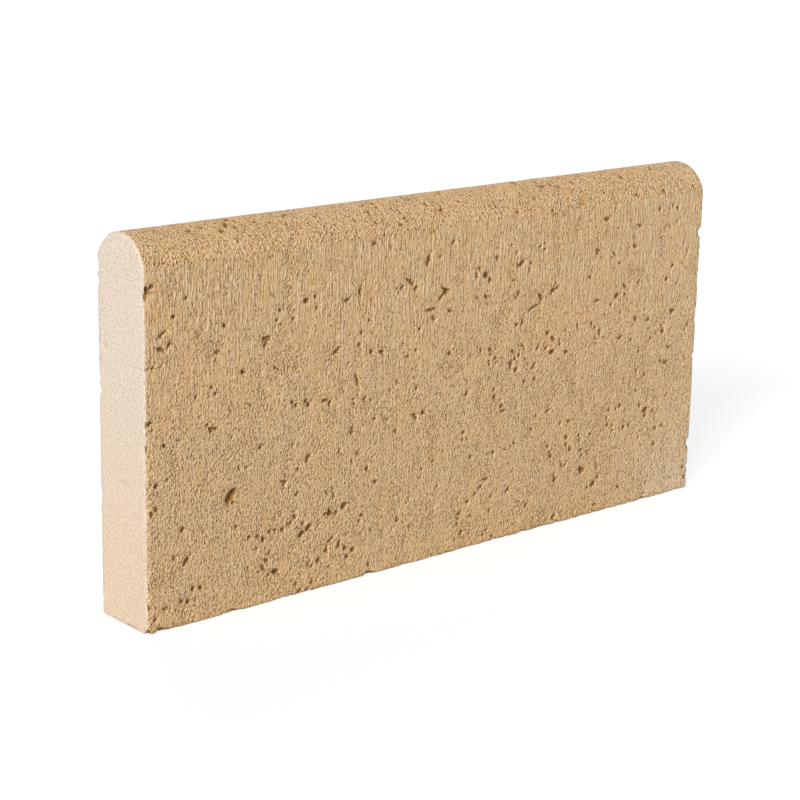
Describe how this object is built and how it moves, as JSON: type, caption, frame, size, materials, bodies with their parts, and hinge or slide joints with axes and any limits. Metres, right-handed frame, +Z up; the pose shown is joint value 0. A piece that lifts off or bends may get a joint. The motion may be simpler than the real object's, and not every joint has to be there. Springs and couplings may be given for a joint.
{
  "type": "bullnose coping block",
  "caption": "Rectangular coping block of pressed limestone with one long edge rounded to a bullnose, for capping low walls and edging paths and pools.",
  "frame": {"origin": "centre of the square base that the block stands on", "axes": "+X along the block's length, +Y through its thickness away from the broad face that the picture shows, +Z up from the base to the rounded nose"},
  "size_m": [0.4, 0.04, 0.2],
  "materials": {
    "pressed_limestone": "matt sandy stone, fine vertical drag lines and small pits on the broad faces, paler and closer on the ends"
  },
  "bodies": {
    "root": {"coping_block": "pressed_limestone"}
  },
  "joints": []
}
